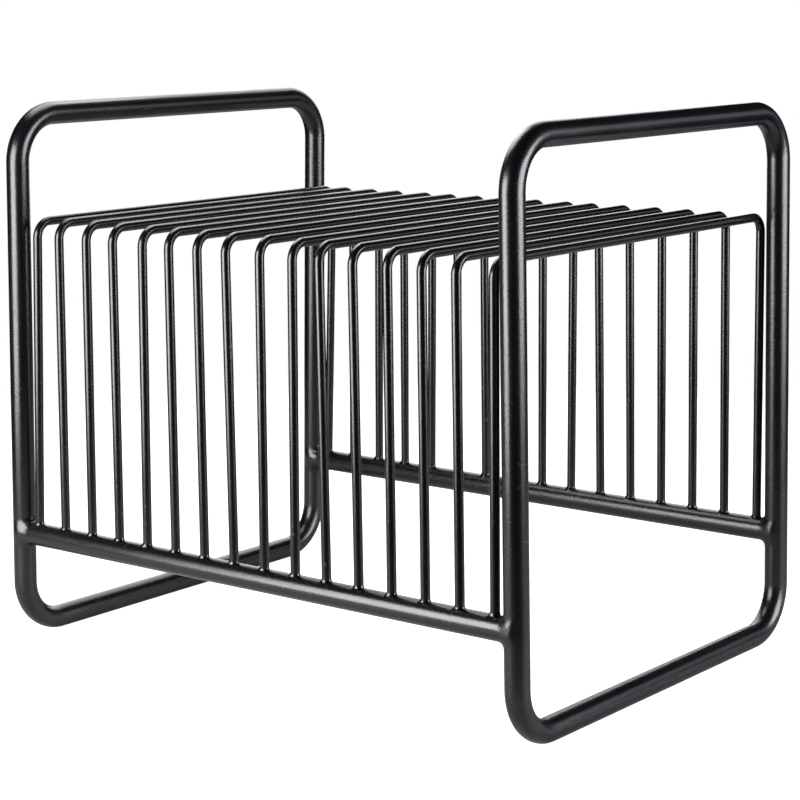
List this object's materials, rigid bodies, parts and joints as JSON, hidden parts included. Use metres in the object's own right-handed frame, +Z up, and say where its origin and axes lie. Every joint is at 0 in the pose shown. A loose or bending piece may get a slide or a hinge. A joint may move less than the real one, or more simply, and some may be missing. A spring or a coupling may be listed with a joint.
{
  "type": "magazine rack",
  "caption": "Free-standing magazine rack: bent-tube end frames with handles, joined by rails that carry a row of wire hoops; magazines stand in the slots between the hoops.",
  "frame": {"origin": "on the floor, under the middle of the rack", "axes": "+Z up; +X along the rails, from the left end frame to the right one; +Y from the front rail to the rear one"},
  "size_m": [0.444, 0.3408, 0.38],
  "materials": {
    "coated_tube": "satin black powder coat on steel tube",
    "coated_wire": "satin black powder coat on steel wire",
    "coated_weld": "glossier black powder coat over weld beads"
  },
  "bodies": {
    "root": {"left_end_frame": "coated_tube", "right_end_frame": "coated_tube", "front_rail": "coated_tube", "rear_rail": "coated_tube", "wire_hoop_01": "coated_wire", "wire_hoop_02": "coated_wire", "wire_hoop_03": "coated_wire", "wire_hoop_04": "coated_wire", "wire_hoop_05": "coated_wire", "wire_hoop_06": "coated_wire", "wire_hoop_07": "coated_wire", "wire_hoop_08": "coated_wire", "wire_hoop_09": "coated_wire", "wire_hoop_10": "coated_wire", "wire_hoop_11": "coated_wire", "wire_hoop_12": "coated_wire", "wire_hoop_13": "coated_wire", "wire_hoop_14": "coated_wire", "wire_hoop_15": "coated_wire", "wire_hoop_16": "coated_wire", "front_foot_welds": "coated_weld", "rear_foot_welds": "coated_weld", "rail_joint_welds": "coated_weld"}
  },
  "joints": []
}
